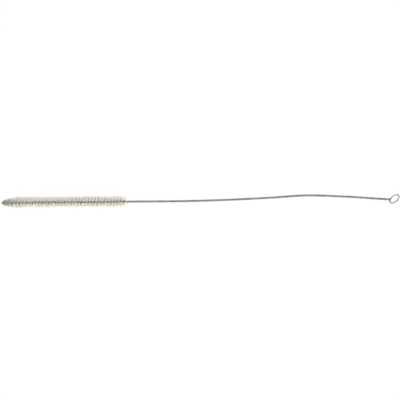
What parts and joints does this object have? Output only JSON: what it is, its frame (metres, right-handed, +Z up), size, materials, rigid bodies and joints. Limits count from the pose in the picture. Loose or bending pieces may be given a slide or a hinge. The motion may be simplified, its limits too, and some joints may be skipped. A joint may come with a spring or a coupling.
{
  "type": "test tube brush",
  "caption": "Slim brush for test tubes: a twisted wire stem bent into a hanging ring, with a cylindrical head of radial hairs at its tip.",
  "frame": {"origin": "on the surface that the brush lies on, under the middle of its length and of its width", "axes": "+X from the bristled tip to the hanging ring, along the axis of the head; +Z up; +Y to the side that the handle bows towards"},
  "size_m": [0.4062, 0.012, 0.0117],
  "materials": {
    "galvanised_wire": "dull galvanised wire, lightly burnished on the outside of each turn",
    "hair": "fine off-white to beige stiff hairs, dull sheen"
  },
  "bodies": {
    "root": {"wire_stem": "galvanised_wire", "bristles": "hair"}
  },
  "joints": []
}
